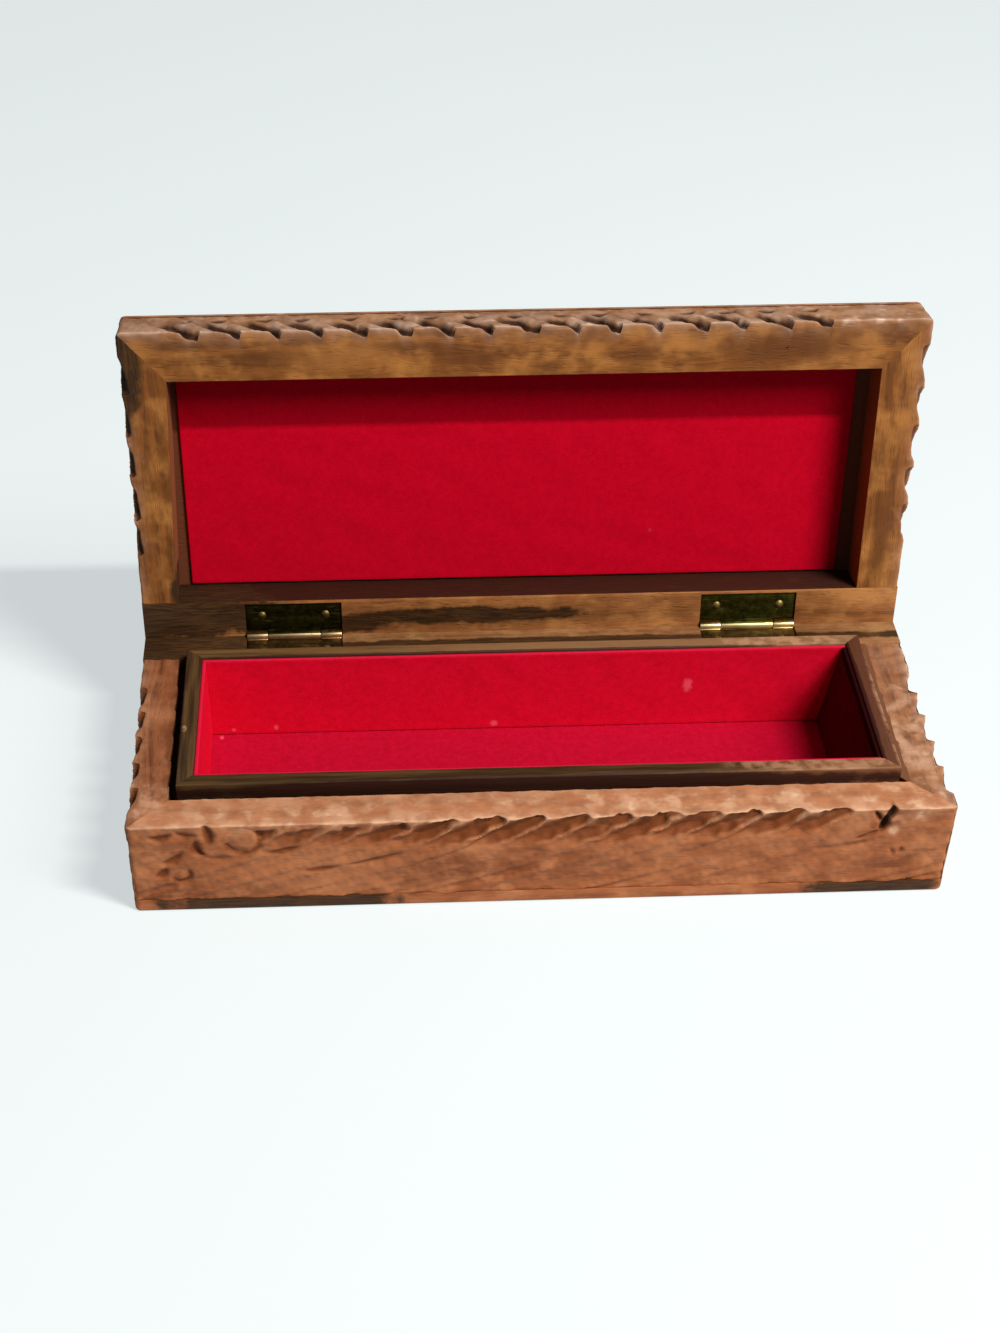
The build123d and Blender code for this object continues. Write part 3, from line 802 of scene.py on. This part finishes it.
def crimson_felt(name, tones, lint, edge=None):
    """Felt with a matt nap, specks of lint at given places, and at its cut edge, between two heights in
    millimetres, a share of another tone."""
    finish = Finish(name, {"Specular IOR Level": 0.04})
    low, high = (paint(tone) for tone in tones)
    spot = finish.place(scale=IN_MM)
    nap = finish.noise(spot, 2.2, 3, 0.7)
    tufts = finish.noise(spot, 0.55, 3, 0.6)
    colour = finish.mix((nap * 0.4 + tufts * 0.6).rise(0.2, 0.8), low, high)
    soft = (tufts - 0.5) * 1.4
    colour = finish.mix(finish.near(spot, lint, soft, 1, 0.2) * 0.55, colour, paint("F0607A"))
    if edge:
        low_edge, high_edge, tone, share = edge
        height = finish.node("ShaderNodeSeparateXYZ", None, {"Vector": spot}, "Z")
        colour = finish.mix((height + (tufts - 0.5) * 0.9).rise(low_edge, high_edge) * share, colour, paint(tone))
    finish.surface(base_color=colour, roughness=0.95, bump=nap * 0.6 + tufts * 0.6, depth=0.07 * MM)
    return finish.material


def felt_slab(name, low, high, seed):
    """A flat piece of felt between two corners, softly rounded at its cut edges and not quite even."""
    size = high - low
    thin = int(np.argmin(size))
    wide = [axis for axis in range(3) if axis != thin]
    span = [size[axis] for axis in wide]
    slab = thin_sheet(name, *span, FELT_CELL)
    bpy.ops.mesh.extrude_region_move(TRANSFORM_OT_translate={"value": (0, 0, size[thin])})
    bpy.ops.object.mode_set(mode="OBJECT")
    turn_faces_outward()
    bevel = slab.modifiers.new("cut_edge", "BEVEL")
    bevel.width = 0.35 * size[thin]
    bevel.segments = 3
    bevel.limit_method = "ANGLE"
    bpy.ops.object.modifier_apply(modifier="cut_edge")
    a, b, c = mesh_points(slab).T
    inner = ramp(a, 0, 2) * ramp(span[0] - a, 0, 2) * ramp(b, 0, 2) * ramp(span[1] - b, 0, 2)
    dent = FELT_DENT * (0.5 + 0.5 * unevenness(a, b, 14, seed)) * inner
    middle = size[thin] / 2
    c = np.where(c > middle, c - dent, c + dent)
    points = np.zeros((a.size, 3))
    for axis, values in zip((*wide, thin), (a, b, c)):
        points[:, axis] = low[axis] + values
    settle(slab, points, FELT_ANGLE)
    return slab, span


felt_top = corner_mm("back_wall_felt")[1][2]
WALL_LINT = [((44, 24, 18), (1.6, 1.5, 2.6)), ((-81.9, 23, 5.2), (0.8, 1.2, 0.8)), ((-78.6, 24, 6.8), (0.9, 1.2, 0.8)),
             ((-67.2, 24, 7.4), (1.0, 1.2, 1.1)), ((-8, 24, 7), (1.6, 2, 1.2))]
cut_edge = (felt_top - 0.7, felt_top, "A8203A", 0.5)
# Painted shade: a near black band just below the top of the right wall's felt.
painted_shade_edge = (felt_top - 2.4, felt_top - 1.2, "240406", 1.0)
wall_felt = crimson_felt("wall_felt", ("BE061E", "D80A30"), WALL_LINT, cut_edge)
# The floor's felt is the walls' felt painted darker: painted shade that keeps the floor, which faces the lamps, as
# bright as the walls.
painted_shade_floor_felt = crimson_felt("floor_felt", ("9A041C", "B20A2E"), WALL_LINT)
# The right wall's felt is the same felt painted darker, as painted shade.
painted_shade_felt = crimson_felt("painted_shade_felt", ("48080C", "5A0A12"), WALL_LINT, painted_shade_edge)
# The right wall's felt leans in at its foot. It is in the shade, and that shade is painted into its darker felt,
# darkest in a band just below its top.
RIGHT_LEAN = 4.0
FELT_PIECES = (
    ("floor_felt", "felt_floor", "base_bottom_board"),
    ("front_wall_felt", "felt_front", "liner_front_strip"),
    ("back_wall_felt", "felt_back", "liner_back_strip"),
    ("left_wall_felt", "felt_left", "liner_left_strip"),
    ("right_wall_felt", "felt_right", "liner_right_strip"),
)
for seed, (node, name, carrier) in enumerate(FELT_PIECES):
    slab, span = felt_slab(name, *corner_mm(node), seed)
    if node == "right_wall_felt":
        bottom, top = corner_mm(node)[0][2], corner_mm(node)[1][2]
        for vertex in slab.data.vertices:
            vertex.co.x -= RIGHT_LEAN * MM * (top - vertex.co.z / MM) / (top - bottom)
    pile = {"felt_floor": painted_shade_floor_felt, "felt_right": painted_shade_felt}.get(name, wall_felt)
    finished(slab, node, pile, "base")
    [side * MM for side in span]


# Hinges
# Small butt hinges bent from brass sheet. The plates have darkened, the lower front of each knuckle carries a
# painted bright reflection, and each leaf is held by two round-headed nails.
hinge = frame["joints"][0]
hinge_line = Vector(hinge["pos_m"])
PLATE_ARRIS = 0.08
KNUCKLE_REACH = 1.4
SCRATCH_LEAN = math.radians(32)


def hinge_brass(name, film_tones, reflection_tone, reflection_reach):
    """Brass with a dark film. Where a knuckle faces down to the front it carries a painted bright reflection,
    within a distance of the hinge line in millimetres."""
    finish = Finish(name, {"Metallic": 1.0})
    spot = finish.place(scale=IN_MM, shift=[-value / MM for value in hinge_line])
    film = finish.noise(spot, 0.5, 4, 0.7)
    pits = finish.noise(spot, 2.2, 3, 0.7)
    leaning = finish.place(rotation=(0, SCRATCH_LEAN, 0), scale=(0.25, 1, 2.5), of=spot)
    scratches = finish.noise(leaning, 0.8, 3)
    colour = finish.mix(film.rise(0.35, 0.65), *(paint(tone) for tone in film_tones))
    colour = finish.mix(scratches.rise(0.6, 0.68) * 0.35, colour, paint("80763C"))
    away = finish.vector("LENGTH", finish.vector("MULTIPLY", spot, (0, 1, 1)), output="Value")
    lower = finish.vector("DOT_PRODUCT", spot, (0, 1, 1), output="Value")
    # The mix called rubbed here is a painted bright reflection on the lower front of each knuckle, not wear.
    rubbed = away.rise(reflection_reach + 0.15, reflection_reach - 0.1) * (lower + (film - 0.5) * 0.3).rise(0.15, -0.25)
    colour = finish.mix(rubbed, colour, paint(reflection_tone))
    roughness = 0.45 + film * 0.2 - rubbed * 0.1
    finish.surface(base_color=colour, roughness=roughness, bump=film + pits * 0.5, depth=0.05 * MM)
    return finish.material


DARK_FILM = ("201E08", "34300F")
OLIVE_FILM = ("33310F", "4C4A1C")
DULL_FILM = ("3A2C12", "5C4522")
for side, film, reflection in (("left", DARK_FILM, "D8B488"), ("right", OLIVE_FILM, "FFE9AC")):
    plate_brass = hinge_brass(f"{side}_plate_brass", film, reflection, KNUCKLE_REACH)
    foot_brass = hinge_brass(f"{side}_foot_brass", DULL_FILM, reflection, KNUCKLE_REACH)
    for body, brass in (("base", foot_brass), ("lid", plate_brass)):
        node = f"{side}_hinge_{body}_leaf"
        leaf = eased_copy(node, f"{side}_hinge_{body}_plate", PLATE_ARRIS)
        finished(leaf, node, brass, body)
    dress(f"{side}_hinge_pin", plate_brass)
NAIL_FILM = ("5C4E28", "8C7A48")
nail_brass = hinge_brass("nail_brass", NAIL_FILM, NAIL_FILM[1], reflection_reach=0.1)
dress("base_hinge_nails", nail_brass)
dress("lid_hinge_nails", nail_brass)


# Lid frame
# Two rails and two stiles, mitred at the front and butted at the back like the base. The border of leaves
# runs along the rim here too, so that it meets the base's border when the lid is shut.
LID_OPENING = math.radians(-hinge["range_deg"][0])
opening = np.array(Matrix.Rotation(LID_OPENING, 3, Vector(hinge["axis"])))
hinge_mm = np.array(hinge_line) / MM


def opened(place):
    """Places a piece of the closed lid and then swings it open about the hinge line."""
    return lambda points: hinge_mm + (place(points) - hinge_mm) @ opening.T


def shut_points(piece):
    """The points of a piece of the open lid as they are when the lid is shut, in millimetres."""
    return hinge_mm + (mesh_points(piece) / MM - hinge_mm) @ opening


def closed_corner_mm(node):
    """The lowest and highest corner of a piece of the lid when the lid is shut, in millimetres."""
    points = shut_points(frame["nodes"][node])
    return points.min(axis=0), points.max(axis=0)


panel_low, panel_high = closed_corner_mm("lid_top_panel")
rail_low, rail_high = closed_corner_mm("lid_front_rail")
back_rail_low = closed_corner_mm("lid_back_rail")[0]
stile_high = closed_corner_mm("lid_left_stile")[1]
LID_RIM = rail_low[2]
LID_WALL = rail_high[2] - LID_RIM
LID_FRONT_RAIL = rail_high[1] - panel_low[1]
LID_STILE = stile_high[0] - panel_low[0]
LID_END_LENGTH = stile_high[1] - panel_low[1]
LID_RINGS = (*RINGS, 10.2)
LAST_RING = 0.15
NO_GROOVE = 99
LEFT_TAPER = 2.3
RIGHT_TAPER = 0.5
LID_FIRST_LEAF = 10.05
LID_LEAVES = 17
LID_TONES = ("5C320E", "7A4618", "A06830")
LID_CUT = "2C1002"
LID_RECESS = "260900"


def lid_front_carving(u, v):
    """The lid's leaf border, with a small curved nick above each leaf and a smooth band along the top."""
    tips = by_eye(LID_FIRST_LEAF + LEAF_PITCH * np.arange(LID_LEAVES), 61)
    depth, grime_and_shade, crest = leaf_strokes(u, v, tips, reach=9.0, strength=2.1, head=-0.6, peak=0.9, spread=4.0, seed=62,
                                       slant=(0.5, 0.01))
    chance = np.random.default_rng(66)
    arcs = []
    for tip in tips[1:]:
        middle_u = tip - 5.4 + chance.uniform(-1, 1)
        heading = chance.uniform(-15, 20)
        arcs.append((middle_u, 8.2, 2.0, 0.8, heading, 0.15, 1.0))
    small = nicked(u, v, arcs)
    grime_and_shade = np.maximum(grime_and_shade, np.minimum(0.9 * small, LEAF_GRIME))
    depth = depth + small + scraped(u, v, 0.08, 0.1, 0.05, 63)
    return np.maximum(depth, 0), grime_and_shade, crest


def tapered(shape, length, thickness, taper):
    """Narrows a stile towards the back."""

    def narrowed(u, v, w):
        thin = 1 - taper / thickness * np.clip(u / length, 0, 1)
        u, v, w, grime_and_shade, wear_and_glint = shape(u, v, w)
        return u, v, w * thin, grime_and_shade, wear_and_glint

    return narrowed


lid_front_size = (BOX_LENGTH, LID_WALL, LID_FRONT_RAIL)
front_slope = LID_STILE / LID_FRONT_RAIL
lid_front_rings = (*LID_RINGS, LID_FRONT_RAIL - LAST_RING)
lid_front_mitres = (front_slope, front_slope)
# The lid front's outer face, which faces up when the lid is open, is pale all over: wear and a painted sheen.
lid_front_shape = wall_shape(lid_front_size, NO_GROOVE, lid_front_mitres, lid_front_carving, seed=65, bare_and_sheen=0.8)
lid_front_place = opened(stand((panel_low[0], panel_low[1], LID_RIM), (1, 0, 0), (0, 0, 1), (0, 1, 0)))
lid_front = carved_board("carved_lid_front", lid_front_size, BOARD_CELL, lid_front_rings, lid_front_shape,
                         lid_front_place)
lid_streaks = [((-86, 50, 103.6), (15, 3, 1.8)), ((-62, 50, 100.8), (14, 3, 2)), ((-31, 50, 102.6), (13, 3, 1.8)),
               ((-13, 50, 99.2), (10, 3, 2.2)), ((6, 50, 97), (4, 3, 2)), ((66, 50, 101), (24, 3, 5))]
lid_lights = [((-46, 50, 100.5), (17, 5, 5)), ((-96, 50, 103), (5, 4, 3)), ((40, 50, 102), (9, 4, 2))]
lid_front_wood = carved_wood("lid_front_wood", ALONG_BOX, (40, 14, 26), LID_TONES, shaded=lid_streaks,
                             lit=lid_lights, waves=1.6, cut=LID_CUT, recess=LID_RECESS, pale="A88670")
finished(lid_front, "lid_front_rail", lid_front_wood, "lid")

stile_size = (LID_END_LENGTH, LID_WALL, LID_STILE)
stile_mitre = (LID_FRONT_RAIL / LID_STILE, 0)
stile_grain = tuple(opening @ np.array((0, -1, 0)))
# Each stile's side, the place of its outer face, the way inward, whether its leaves point to the back, its taper
# and pith, its heartwood and shaded places, and the tones of its cuts and of its side in the recess.
LID_ENDS = (
    ("left", panel_low[0], 1, True, LEFT_TAPER, (7, -16, 12),
     [((-102, 49.5, 97), (7, 10, 14)), ((-92, 47, 38.5), (2.6, 9, 6))], [], LID_CUT, "7A4426"),
    ("right", panel_high[0], -1, False, RIGHT_TAPER, (19, 12, -17),
     [], [((95, 44, 50), (3, 12, 16))], "5A2C10", "8A4A1A"),
)
stile_rings = (*LID_RINGS, LID_STILE - LAST_RING)
for side, outer_x, inward, toward_back, taper, pith, heartwood_and_shade, shaded, cut, recess in LID_ENDS:
    seed = 71 + inward
    carving = end_carving(LID_END_LENGTH, toward_back, reach=8.0, seed=seed)
    plain_shape = wall_shape(stile_size, NO_GROOVE, stile_mitre, carving, seed)
    shape = tapered(plain_shape, LID_END_LENGTH, LID_STILE, taper)
    place = opened(stand((outer_x, panel_low[1], LID_RIM), (0, 1, 0), (0, 0, 1), (inward, 0, 0)))
    stile = carved_board(f"carved_lid_{side}_end", stile_size, BOARD_CELL, stile_rings, shape, place)
    stile_wood = carved_wood(f"lid_{side}_wood", stile_grain, pith, LID_TONES, heartwood_and_shade, shaded=shaded, cut=cut,
                             recess=recess)
    finished(stile, f"lid_{side}_stile", stile_wood, "lid")

LID_BACK_TONES = ("6C401C", "90582E", "A8703C")
INNER_FACE = 0.02
lid_back = eased_copy("lid_back_rail", "lid_back", BOARD_ARRIS)
in_recess = shut_points(lid_back)[:, 1] < back_rail_low[1] + INNER_FACE
lid_back.data.attributes.new("groove", "FLOAT", "POINT").data.foreach_set("value", in_recess.astype(float))
lid_heartwood = [((-90, 42, 32), (32, 12, 7)), ((-14, 41, 31), (34, 5, 2.6)), ((-60, 41, 29), (26, 5, 3))]
lid_back_wood = carved_wood("lid_back_wood", ALONG_BOX, (9, -12, 30), LID_BACK_TONES, lid_heartwood,
                            recess=LID_RECESS)
finished(lid_back, "lid_back_rail", lid_back_wood, "lid")


# Lid top panel
# A thin panel glued over the frame. Its outer face isn't seen in the photograph, so its incised line, its rosette
# and its two sprays of leaves are a common pattern of such boxes.
PANEL_CELL = 0.55
PANEL_RINGS = (0.2, 0.45, 0.8, 1.4, 1.9)
PANEL_EASE = 0.8
LINE_INSET = 7
PETALS = 8
PETAL_LENGTH = 15.5
ROSETTE_EYE = 3.2
ROSETTE_RING = 18
SPRAY_LEAVES = 6
SPRAY_START = 24
SPRAY_PITCH = 8.5
SPRAY_REACH = 15
MOST_CARVED = 1.1


def incised(away, width):
    """1 on a cut line, falling to 0 away from it."""
    return np.exp(-((away / width) ** 2))


def ease_both(value, length, w, radius):
    """Rounds the face's arrises at both ends of one direction."""
    near, w = ease(np.minimum(value, length - value), w, radius)
    return np.where(value < length / 2, near, length - near), w


def panel_shape(u, v, w):
    """Eased along its edges, with an incised line and a rosette between two sprays of leaves."""
    thickness = panel_high[2] - panel_low[2]
    outer = w < TOUCHING
    away_u = np.minimum(u, BOX_LENGTH - u)
    away_v = np.minimum(v, BOX_DEPTH - v)
    edge = np.minimum(away_u, away_v)
    across = u - BOX_LENGTH / 2
    up = v - BOX_DEPTH / 2
    radius = np.hypot(across, up)
    turned = np.arctan2(up, across)
    petal = PETAL_LENGTH * np.abs(np.cos(turned * PETALS / 2)) ** 0.6
    bloom = ramp(radius, 3, 4) * (1 - ramp(radius, petal - 1.2, petal))
    depth = 0.5 * incised(edge - LINE_INSET, 0.5)
    depth += 0.9 * bloom * (0.55 + 0.45 * np.cos(turned * PETALS) ** 2)
    depth += 0.7 * incised(radius - ROSETTE_EYE, 0.5) + 0.6 * incised(radius - ROSETTE_RING, 0.5)
    for side in (-1, 1):
        along = side * across
        leaves = np.zeros_like(u)
        for number in range(SPRAY_LEAVES):
            for half in (-1, 1):
                share = np.clip(half * up / (SPRAY_REACH - number), 0, 1)
                aside = np.abs(along - (SPRAY_START + SPRAY_PITCH * number) - 7 * share**1.4)
                width = 2.6 * np.sin(math.pi * share**0.8)
                leaves += (1 - ramp(aside, 0.4 * width, width + 0.05)) * (half * up > 0.8)
        depth += 0.8 * np.clip(leaves, 0, 1)
        depth += 0.5 * incised(up, 0.45) * ramp(along, 19, 21) * (1 - ramp(along, 76, 79))
    depth = np.minimum(depth, MOST_CARVED) + 0.05 + 0.06 * unevenness(u, v, 9, 81) + 0.03 * unevenness(u, v, 3, 82)
    grime_and_shade = np.clip(depth - 0.2, 0, 1) * outer
    wear_and_glint = np.where(edge < TOUCHING, 0.85, np.exp(-edge / 1.2) * outer)
    depth = depth * ramp(edge, 0.5, 2)
    corner_u, corner_v = ease(away_u, away_v, MITRE_EASE)
    u = np.where(u < BOX_LENGTH / 2, corner_u, BOX_LENGTH - corner_u)
    v = np.where(v < BOX_DEPTH / 2, corner_v, BOX_DEPTH - corner_v)
    u, w = ease_both(u, BOX_LENGTH, w, PANEL_EASE)
    v, w = ease_both(v, BOX_DEPTH, w, PANEL_EASE)
    grime_and_shade = np.where(w > thickness - TOUCHING, 1, np.minimum(grime_and_shade, LEAF_GRIME))
    return u, v, w + depth * (1 - w / thickness), grime_and_shade, wear_and_glint


panel_size = (BOX_LENGTH, BOX_DEPTH, panel_high[2] - panel_low[2])
panel_place = opened(stand((panel_low[0], panel_high[1], panel_high[2]), (1, 0, 0), (0, -1, 0), (0, 0, -1)))
panel = carved_board("carved_lid_top", panel_size, PANEL_CELL, PANEL_RINGS, panel_shape, panel_place)
panel_wood = carved_wood("lid_top_wood", ALONG_BOX, (25, 33, 40), LID_TONES, waves=1.8, cut=LID_CUT, recess="5E2E16")
finished(panel, "lid_top_panel", panel_wood, "lid")


# Felt inside the lid
# One rectangle of the same felt, glued to the panel inside the frame and painted a little darker than the walls' felt
# as painted shade. It was cut a little short, which shows at its right end.
CUT_SHORT = 2.4
ceiling_low, ceiling_high = closed_corner_mm("lid_ceiling_felt")
ceiling_high[0] -= CUT_SHORT
ceiling, span = felt_slab("felt_ceiling", ceiling_low, ceiling_high, seed=9)
swing = Matrix.Translation(hinge_line) @ Matrix(opening).to_4x4() @ Matrix.Translation(-hinge_line)
ceiling.data.transform(swing)
CEILING_LINT = [((36, 51, 62), (1.4, 3, 1.4)), ((35, 51, 48), (1.4, 3, 1.4))]
ceiling_felt = crimson_felt("ceiling_felt", ("AA001A", "BE0420"), CEILING_LINT)
finished(ceiling, "lid_ceiling_felt", ceiling_felt, "lid")
[side * MM for side in span]
